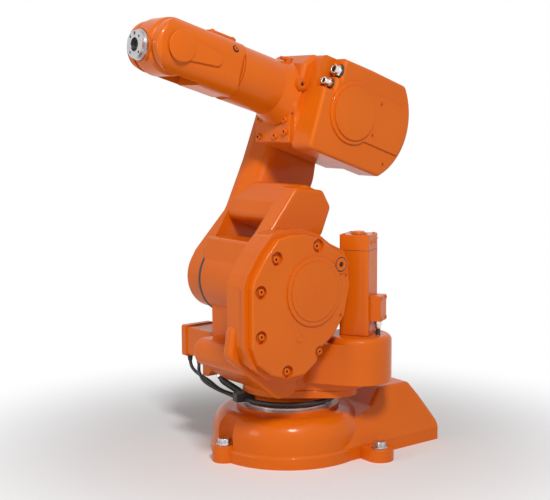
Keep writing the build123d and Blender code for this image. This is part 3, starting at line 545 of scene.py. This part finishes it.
class ROBOT_OT_cover_screws(bpy.types.Operator):
    """Screws in the pockets of the shoulder cover, its small screws, boss, plug seal, the painted
    shade in the plug's socket, and seal lip.
    """

    bl_idname = "robot.cover_screws"
    bl_label = "Cover Screws"

    def execute(self, context):
        sizes = context.scene.robot_fixings
        pocket_floor, cover_face, plug_face = 157.0, 165.0, 167.0
        washer_thickness = 1.2
        pockets = [
            (158.5, 419.0), (193.5, 362.5), (193.5, 279.5), (134.5, 207.5), (54.0, 234.5),
            (61.0, 436.0),
        ]
        screw_set(
            "cover_screws", [(COLUMN.place(x, pocket_floor, z), LEFT) for x, z in pockets],
            sizes.cover_screw, "enamel", "frame", washer_thickness,
        )
        pins = [
            (147.0, pocket_floor, 428.0), (126.0, pocket_floor, 205.0),
            (-9.0, cover_face, 376.0), (4.0, cover_face, 300.0),
        ]
        screw_set(
            "cover_pins", [(COLUMN.place(*pin), LEFT) for pin in pins], sizes.small_screw,
            "enamel", "frame",
        )
        boss = turned(
            [(3, -SINK), (9, -SINK), (9, 0.5), (8.4, 1.1), (6.4, 1.2), (6.0, 0.7), (2, 0.7)],
            COLUMN.place(105, cover_face, 267), LEFT, steps=48,
        )
        piece("cover_filler_boss", [boss], "enamel", "frame")
        plug_place = COLUMN.place(4, plug_face, 397)
        plug_seal_radius = 13.6
        seal = band(circle(plug_seal_radius), seal_section(0.8, 0.7), plug_place, UP, FORWARD)
        piece("shoulder_plug_seal", [seal], "rubber", "frame")
        # A dark hex inside the plug seal, painted shade for the plug's socket.
        plug_shade = turned(
            [(1, -SINK, HEX), (4.8, -SINK, HEX), (4.8, 0.5, HEX), (1, 0.5, HEX)],
            plug_place, LEFT, steps=24,
        )
        piece("shoulder_plug_socket_shade", [plug_shade], "black_and_painted_shade", "frame")
        barrel_radius, lip_place = 76.0, -99.3
        lip = band(
            circle(barrel_radius, 144),
            [(rise, width) for width, rise in reversed(seal_section(3.5, 0.8))],
            shoulder_place + MM * lip_place * LEFT, FORWARD, UP,
        )
        piece("shoulder_seal_lip", [lip], "rubber", "frame")
        return {"FINISHED"}


class ROBOT_OT_foot_bolts(bpy.types.Operator):
    """Bolts with washers in the three lugs of the foot."""

    bl_idname = "robot.foot_bolts"
    bl_label = "Foot Bolts"

    def execute(self, context):
        sizes = context.scene.robot_fixings
        washer_margin, washer_thickness = 3.5, 2.5
        lug_seats = [(153, 0, 33), (-102, 172, 24), (-102, -172, 24)]
        bolts, washers = [], []
        for seat in lug_seats:
            place = MM * np.array(seat)
            top = place + MM * washer_thickness * UP
            washers.append(
                washer(place, UP, sizes.foot_bolt_radius + washer_margin, washer_thickness)
            )
            bolts.append(hex_bolt(top, UP, sizes.foot_bolt_radius, sizes.foot_bolt_height))
        piece("foot_washers", washers, "steel", "foot")
        piece("foot_bolts", bolts, "steel", "foot")
        return {"FINISHED"}


class ROBOT_OT_upright_motor_fixings(bpy.types.Operator):
    """Seams, screws, gland and fitting of the motor that stands behind the arm."""

    bl_idname = "robot.upright_motor_fixings"
    bl_label = "Upright Motor Fixings"

    def execute(self, context):
        sizes = context.scene.robot_fixings
        turn = math.radians(28.0)
        across = FORWARD * math.cos(turn) + LEFT * math.sin(turn)
        beside = np.cross(UP, across)
        width, corner, top = 60.0, 5.0, 448
        dome_radius, socket_middle, socket_face = 15.0, 41, 52

        def on_motor(x, y, z):
            """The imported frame's point for millimetres on the motor, z above the floor."""
            return COLUMN.place(-70, 136, z) + MM * (x * across + y * beside)

        seams = [
            band(
                rounded_square(width, corner), [(-1, -0.3), (0.25, -0.3), (0.25, 0.3), (-1, 0.3)],
                on_motor(0, 0, seam_height), across, beside,
            )
            for seam_height in (251.0, 418.0)
        ]
        piece("axis_1_motor_seams", seams, "rubber", "frame")
        dome = band(
            circle(dome_radius), seal_section(1.1, 0.8), on_motor(0, 0, top), across, beside
        )
        piece("axis_1_motor_dome_seal", [dome], "rubber", "frame")
        screw_set(
            "axis_1_motor_screws",
            [(on_motor(x, y, top), UP) for x in (-23, 23) for y in (-23, 23)]
            + [(on_motor(x, width / 2, 433), beside) for x in (10, -10)],
            sizes.small_screw, "enamel", "frame",
        )
        gland = [
            hex_bolt(on_motor(0, socket_middle, 279), -UP, 8.5, 9.0),
            turned(
                [(2, 0), (6, 0), (6, 6), (5, 8), (2, 8)], on_motor(0, socket_middle, 270), -UP
            ),
        ]
        piece("axis_1_socket_gland", gland, "nickel", "frame")
        stub = turned(
            [(2, 0), (4.2, 0), (4.2, 8), (4.6, 11), (5.4, 12.4), (2, 12.4)],
            on_motor(0, socket_middle, 262.4), -UP,
        )
        piece("axis_1_socket_lead", [stub], "rubber", "frame")
        screw_set(
            "axis_1_socket_screws",
            [(on_motor(x, socket_face, z), beside) for x in (-13, 13) for z in (284, 324)],
            sizes.small_screw, "enamel", "frame",
        )
        fitting = [
            hex_bolt(on_motor(-30, 22, 437), -across, 7.0, 5.0),
            turned(
                [(1, 0), (4.2, 0), (4.2, 4), (3.2, 4.6), (3.2, 8), (4, 8.6), (4, 10.5), (1, 10.5)],
                on_motor(-35, 22, 437), -across,
            ),
        ]
        piece("axis_1_motor_fitting", fitting, "nickel", "frame")
        return {"FINISHED"}


class ROBOT_OT_far_side_screws(bpy.types.Operator):
    """Screws of the lying motor's cap and of the far shoulder cap."""

    bl_idname = "robot.far_side_screws"
    bl_label = "Far Side Screws"

    def execute(self, context):
        sizes = context.scene.robot_fixings
        motor_face, shoulder_face = -218, -160
        screw_set(
            "axis_2_motor_screws",
            [(COLUMN.place(x, motor_face, z), -LEFT) for x in (49, 103) for z in (183, 229)],
            sizes.small_screw, "nickel", "frame",
        )
        count, circle_radius = 8, 50
        angles = np.arange(count) * 2 * math.pi / count + math.pi / count
        screw_set(
            "far_shoulder_screws",
            [
                (
                    LOWER_ARM.place(
                        circle_radius * math.cos(a), shoulder_face, circle_radius * math.sin(a)
                    ),
                    -LEFT,
                )
                for a in angles
            ],
            sizes.small_screw, "nickel", "lower_arm",
        )
        return {"FINISHED"}


class ROBOT_OT_upper_arm_fixings(bpy.types.Operator):
    """Screws, vent and the painted shade in the plug's socket on the upper arm housing, and the ends
    of its air fittings with painted shade in their bores.
    """

    bl_idname = "robot.upper_arm_fixings"
    bl_label = "Upper Arm Fixings"

    def execute(self, context):
        sizes = context.scene.robot_fixings
        cover_face, body_face, elbow_boss_face = 120.0, 116.0, 69.0
        screw_set(
            "side_cover_screws",
            [
                (UPPER_ARM.place(*place), LEFT)
                for place in [
                    (-62, cover_face, 39), (-58, cover_face, -26), (-107, body_face, -71)
                ]
            ],
            sizes.small_screw, "enamel", "upper_arm",
        )
        flange_axis = UPPER_ARM.direction(54, 0, -16)
        flange_places = [
            (87.6, -43, -79), (88.4, 8, -76), (91.0, 38, -68), (97.6, 36, -45), (97.6, -43, -45)
        ]
        screw_set(
            "foot_flange_screws",
            [(UPPER_ARM.place(*place), flange_axis) for place in flange_places],
            sizes.flange_screw, "enamel", "upper_arm",
        )
        lips, bore_shades, seals = [], [], []
        seal_thickness = 2.0
        for start, end, y, z, radius, seal_radius in [
            (50, 64, 103, 68, 9.6, 14.0), (60, 78, 99, 40, 7.2, 10.5)
        ]:
            mouth = UPPER_ARM.place(end, y, z)
            throat, bore, core = radius * 0.62, radius * 0.58, radius * 0.2
            lips.append(turned(
                [
                    (radius * 0.5, -DEEP_SINK), (radius, -DEEP_SINK), (radius, 1.6),
                    (radius * 0.92, 2.2), (radius * 0.7, 2.2), (throat, 1.4), (throat, 0.4),
                    (radius * 0.3, 0.4),
                ],
                mouth, UPPER_ARM.along, steps=48,
            ))
            # A dark disc just inside each mouth, painted shade for the hollow bore.
            bore_shades.append(turned(
                [(core, 0.3), (bore, 0.3), (bore, 0.9), (core, 0.9)], mouth, UPPER_ARM.along
            ))
            seals.append(
                washer(UPPER_ARM.place(start, y, z), UPPER_ARM.along, seal_radius, seal_thickness)
            )
        piece("air_fitting_lips", lips, "nickel", "upper_arm")
        piece("air_fitting_bore_shades", bore_shades, "black_and_painted_shade", "upper_arm")
        piece("air_fitting_seals", seals, "rubber", "upper_arm")
        # A dark hex on the elbow boss, painted shade for the plug's socket.
        plug_shade = turned(
            [(1, -SINK, HEX), (3.6, -SINK, HEX), (3.6, 0.4, HEX), (1, 0.4, HEX)],
            UPPER_ARM.place(104, elbow_boss_face, 24), LEFT, steps=24,
        )
        piece("elbow_plug_socket_shade", [plug_shade], "black_and_painted_shade", "upper_arm")
        vent = [
            hex_bolt(
                UPPER_ARM.place(112, 18, 65), UPPER_ARM.direction(0.15, 0.25, 1), 7.5, 12.0
            ),
            turned(
                [(1, 0), (3.6, 0), (3.6, 13), (3.0, 14), (3.0, 20), (1, 20)],
                UPPER_ARM.place(112, 18, 73), UPPER_ARM.direction(1, 0, -0.16),
            ),
        ]
        piece("elbow_vent", vent, "enamel", "upper_arm")
        return {"FINISHED"}


class ROBOT_OT_wrist_fixings(bpy.types.Operator):
    """Screws of the forearm, the painted shade of a screw pocket, the round caps of its fork and the
    seat in the tool flange.
    """

    bl_idname = "robot.wrist_fixings"
    bl_label = "Wrist Fixings"

    def execute(self, context):
        sizes = context.scene.robot_fixings
        hatch_face, fork_face, flange_seat = 59, 59.6, 59.0
        screw_set(
            "hatch_screws",
            [(TUBE.place(x, y, hatch_face), TUBE.rise) for x in (249, 297) for y in (-16, 16)],
            sizes.small_screw, "enamel", "forearm",
        )
        fork_screw = 4.6, 2.6, 2.2, 1.8
        shoulder_axis = TUBE.direction(0, 0.9, 0.43)
        shoulder_face = TUBE.place(262, 52.6, 32.6)
        # A dark disc round the fork screw, painted shade for the pocket it sits in.
        pocket_shade = turned(
            [(2, -0.4), (7.2, -0.4), (7.2, 0.35), (6.6, 0.6), (2, 0.6)],
            shoulder_face, shoulder_axis,
        )
        piece("fork_screw_pocket_shade", [pocket_shade], "black_and_painted_shade", "forearm")
        screw_set("fork_screw", [(shoulder_face, shoulder_axis)], fork_screw, "enamel", "forearm")
        caps = [
            turned(
                [
                    (3, -DEEP_SINK), (29.5, -DEEP_SINK), (29.5, 0.6), (28.6, 1.7), (27.4, 2.0),
                    (3, 2.0),
                ],
                wrist_place + MM * side * fork_face * LEFT, side * LEFT, steps=72,
            )
            for side in (1, -1)
        ]
        piece("wrist_pivot_caps", caps, "enamel", "forearm")
        seat = turned(
            [
                (3, 0.2), (12.2, 0.2), (12.2, 1.4), (11.6, 1.9), (7.4, 1.9), (7.0, 1.4),
                (7.0, 0.6), (3, 0.6),
            ],
            WRIST.place(flange_seat, 0, 0), WRIST.along, steps=60,
        )
        piece("tool_flange_seat", [seat], "black_and_painted_shade", "flange")
        return {"FINISHED"}


class ROBOT_OT_rear_panel_fixings(bpy.types.Operator):
    """Screws of the connector panel and the insides of its two connectors."""

    bl_idname = "robot.rear_panel_fixings"
    bl_label = "Rear Panel Fixings"

    def execute(self, context):
        sizes = context.scene.robot_fixings
        panel_face, connector_face, connector_height = -296.0, -312.0, 23.0
        pin_circles = 3.2, 7.2
        screw_set(
            "panel_screws",
            [
                (MM * np.array((panel_face, y, z)), BACK_OF_FOOT)
                for y in (-105, -32, 32, 105) for z in (13, 33)
            ],
            sizes.small_screw, "nickel", "foot",
        )
        inserts, pins = [], []
        for y, pin_counts in [(-60, (3, 6)), (60, (2, 4))]:
            place = MM * np.array((connector_face, y, connector_height))
            inserts.append(turned(
                [(2, -DEEP_SINK), (10.6, -DEEP_SINK), (10.6, 0.5), (10.0, 0.9), (2, 0.9)],
                place, BACK_OF_FOOT,
            ))
            for reach, count in zip(pin_circles, pin_counts):
                for step in range(count):
                    turn = 2 * math.pi * step / count
                    offset = MM * reach * np.array((0, math.cos(turn), math.sin(turn)))
                    pins.append(turned(
                        [(0.3, 0), (0.9, 0), (0.9, 2.2), (0.5, 2.7), (0.2, 2.7)],
                        place + offset, BACK_OF_FOOT, steps=12,
                    ))
        piece("connector_inserts", inserts, "rubber", "foot")
        piece("connector_pins", pins, "nickel", "foot")
        return {"FINISHED"}


class ROBOT_OT_motor_leads(bpy.types.Operator):
    """The two leads that hang from the lying motor to the clamp at the neck, and their boots."""

    bl_idname = "robot.motor_leads"
    bl_label = "Motor Leads"

    def execute(self, context):
        radius = 3.5
        leads = {
            "long_motor_lead": (0.204, [
                (96, -209, 173), (96, -209, 158), (97, -202, 147), (98, -184, 139),
                (105, -150, 137), (110, -118, 134), (108, -86, 121), (89.3, -59.4, 113),
                (95.6, -34.1, 113),
            ]),
            "short_motor_lead": (0.164, [
                (104, -165, 176), (104, -165, 162), (110, -158, 150), (118, -142, 145),
                (127, -118, 137), (120, -86, 126), (98.0, -61.5, 113.5), (104.3, -36.3, 113.5),
            ]),
        }
        boots = []
        for node, (length, route) in leads.items():
            points = [COLUMN.place(*point) for point in route]
            curve = bpy.data.curves.new(node + "_cord", "CURVE")
            curve.dimensions = "3D"
            curve.bevel_depth = MM * radius
            curve.bevel_resolution = 5
            curve.resolution_u = 16
            curve.use_fill_caps = True
            spline = curve.splines.new("NURBS")
            spline.points.add(len(points) - 1)
            for corner, point in zip(spline.points, points):
                corner.co = (*point, 1)
            spline.order_u = 3
            spline.use_endpoint_u = True
            curve.materials.append(material("rubber"))
            made = bpy.data.objects.new(node + "_cord", curve)
            context.scene.collection.objects.link(made)
            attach(made, "frame")
            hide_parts(node)
            boots.append(turned(
                [(1, 0), (6.5, 0), (6.5, 2.5), (5.6, 3.5), (4.6, 12), (4.2, 12.4), (1, 12.4)],
                points[0], -UP,
            ))
        piece("lead_boots", boots, "rubber", "frame")
        return {"FINISHED"}


class ROBOT_OT_finishes(bpy.types.Operator):
    """Enamel, rubber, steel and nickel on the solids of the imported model."""

    bl_idname = "robot.finishes"
    bl_label = "Finishes"

    def execute(self, context):
        finish_of = {node: finish for finish, nodes in NODE_FINISHES.items() for node in nodes}
        for name, node in frame["nodes"].items():
            node.data.materials.clear()
            node.data.materials.append(material(finish_of.get(name, "enamel")))
        return {"FINISHED"}


# Stage

def background_ray(tree):
    """One where the ray comes from the camera, a glossy surface or glass, and else nothing."""
    path = tree.nodes.new("ShaderNodeLightPath")
    value = path.outputs["Is Camera Ray"]
    for other in ("Is Glossy Ray", "Is Transmission Ray"):
        larger = tree.nodes.new("ShaderNodeMath")
        larger.operation = "MAXIMUM"
        tree.links.new(value, larger.inputs[0])
        tree.links.new(path.outputs[other], larger.inputs[1])
        value = larger.outputs[0]
    return value


def studio_world(strength):
    """An even studio that lights at its strength and is seen as white."""
    world = bpy.data.worlds.new("studio")
    world.use_nodes = True
    tree = world.node_tree
    lit = tree.nodes["Background"]
    lit.inputs["Color"].default_value = (1, 1, 1, 1)
    lit.inputs["Strength"].default_value = strength
    seen = tree.nodes.new("ShaderNodeBackground")
    seen.inputs["Color"].default_value = (1, 1, 1, 1)
    seen.inputs["Strength"].default_value = 1.0
    mix = tree.nodes.new("ShaderNodeMixShader")
    tree.links.new(background_ray(tree), mix.inputs["Fac"])
    tree.links.new(lit.outputs["Background"], mix.inputs[1])
    tree.links.new(seen.outputs["Background"], mix.inputs[2])
    tree.links.new(mix.outputs["Shader"], tree.nodes["World Output"].inputs["Surface"])
    return world


def floor_material():
    """A pale matt floor that turns to plain white away from the arm."""
    shadow_reach, white_from = 0.3, 0.9
    made, tree, shader = plain("pale_floor")
    shader.inputs["Base Color"].default_value = (0.9, 0.9, 0.9, 1)
    shader.inputs["Roughness"].default_value = 0.9
    shader.inputs["Specular IOR Level"].default_value = 0.1
    place = tree.nodes.new("ShaderNodeTexCoord")
    distance = tree.nodes.new("ShaderNodeVectorMath")
    distance.operation = "LENGTH"
    tree.links.new(place.outputs["Object"], distance.inputs[0])
    fade = tree.nodes.new("ShaderNodeMapRange")
    fade.interpolation_type = "SMOOTHSTEP"
    fade.inputs["From Min"].default_value = shadow_reach
    fade.inputs["From Max"].default_value = white_from
    tree.links.new(distance.outputs["Value"], fade.inputs["Value"])
    seen = tree.nodes.new("ShaderNodeMath")
    seen.operation = "MULTIPLY"
    tree.links.new(fade.outputs["Result"], seen.inputs[0])
    tree.links.new(background_ray(tree), seen.inputs[1])
    white = tree.nodes.new("ShaderNodeEmission")
    white.inputs["Color"].default_value = (1, 1, 1, 1)
    mix = tree.nodes.new("ShaderNodeMixShader")
    tree.links.new(seen.outputs[0], mix.inputs["Fac"])
    tree.links.new(shader.outputs["BSDF"], mix.inputs[1])
    tree.links.new(white.outputs["Emission"], mix.inputs[2])
    tree.links.new(mix.outputs["Shader"], tree.nodes["Material Output"].inputs["Surface"])
    return made


def soft_lamp(name, place, target, size, watts):
    """A rectangular lamp that looks at a point."""
    lamp = bpy.data.lights.new(name, "AREA")
    lamp.shape = "RECTANGLE"
    lamp.size, lamp.size_y = size
    lamp.energy = watts
    made = bpy.data.objects.new(name, lamp)
    bpy.context.scene.collection.objects.link(made)
    aim = (Vector(target) - Vector(place)).to_track_quat("-Z", "Y")
    made.matrix_world = Matrix.Translation(place) @ aim.to_matrix().to_4x4()


class ROBOT_OT_stage(bpy.types.Operator):
    """Floor, backdrop, lamps and the camera at the picture's place."""

    bl_idname = "robot.stage"
    bl_label = "Stage"

    def execute(self, context):
        look = context.scene.robot_stage
        cam = bpy.data.cameras.new("camera")
        cam.sensor_width = 36.0
        cam.lens = look.focal_pixels * cam.sensor_width / look.picture_width
        cam.clip_start, cam.clip_end = 0.1, 50.0
        eye = bpy.data.objects.new("camera", cam)
        context.scene.collection.objects.link(eye)
        view = Vector((
            math.cos(look.camera_heading) * math.cos(look.camera_pitch),
            math.sin(look.camera_heading) * math.cos(look.camera_pitch),
            math.sin(look.camera_pitch),
        ))
        eye.matrix_world = (
            Matrix.Translation(look.camera_place)
            @ view.to_track_quat("-Z", "Y").to_matrix().to_4x4()
            @ Matrix.Rotation(look.camera_roll, 4, "Z")
        )
        context.scene.camera = eye
        context.scene.view_settings.view_transform = "Standard"
        context.scene.world = studio_world(look.sky_strength)
        rim = np.pad(circle(look.floor_radius, 96), ((0, 0), (0, 1)))
        floor_mesh = bpy.data.meshes.new("floor")
        floor_mesh.from_pydata(rim.tolist(), [], [list(range(len(rim)))])
        floor_mesh.materials.append(floor_material())
        floor = bpy.data.objects.new("floor", floor_mesh)
        context.scene.collection.objects.link(floor)
        arm_middle = (0.0, 0.0, 0.45)
        soft_lamp("key_lamp", (0.9, 1.9, 2.3), arm_middle, (0.5, 0.4), look.key_watts)
        soft_lamp("fill_lamp", (2.4, 0.1, 1.0), arm_middle, (0.6, 1.0), look.fill_watts)
        return {"FINISHED"}


OPERATORS = [
    ROBOT_OT_stage, ROBOT_OT_motor_leads, ROBOT_OT_finishes, ROBOT_OT_cover_screws,
    ROBOT_OT_foot_bolts, ROBOT_OT_upright_motor_fixings, ROBOT_OT_far_side_screws,
    ROBOT_OT_upper_arm_fixings, ROBOT_OT_wrist_fixings, ROBOT_OT_rear_panel_fixings,
]


class ROBOT_PT_dressing(bpy.types.Panel):
    """Lists the operators that dress the robot arm, and their settings."""

    bl_idname = "ROBOT_PT_dressing"
    bl_label = "Robot Arm"
    bl_space_type = "VIEW_3D"
    bl_region_type = "UI"
    bl_category = "Robot Arm"

    def draw(self, context):
        scene = context.scene
        for operator in OPERATORS:
            self.layout.operator(operator.bl_idname)
        for group in (scene.robot_finish, scene.robot_fixings, scene.robot_stage):
            box = self.layout.box()
            for name in group.__annotations__:
                box.prop(group, name)


CLASSES = [FinishSettings, FixingSettings, StageSettings, *OPERATORS, ROBOT_PT_dressing]


def register():
    """Adds the settings, operators and panel."""
    for made in CLASSES:
        bpy.utils.register_class(made)
    bpy.types.Scene.robot_finish = bpy.props.PointerProperty(type=FinishSettings)
    bpy.types.Scene.robot_fixings = bpy.props.PointerProperty(type=FixingSettings)
    bpy.types.Scene.robot_stage = bpy.props.PointerProperty(type=StageSettings)


def unregister():
    """Takes them away again."""
    del bpy.types.Scene.robot_stage
    del bpy.types.Scene.robot_fixings
    del bpy.types.Scene.robot_finish
    for made in reversed(CLASSES):
        bpy.utils.unregister_class(made)


def main():
    """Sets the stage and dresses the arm."""
    register()
    bpy.ops.robot.stage()
    bpy.ops.robot.motor_leads()
    bpy.ops.robot.finishes()
    bpy.ops.robot.cover_screws()
    bpy.ops.robot.foot_bolts()
    bpy.ops.robot.upright_motor_fixings()
    bpy.ops.robot.far_side_screws()
    bpy.ops.robot.upper_arm_fixings()
    bpy.ops.robot.wrist_fixings()
    bpy.ops.robot.rear_panel_fixings()


if __name__ == "__main__":
    main()
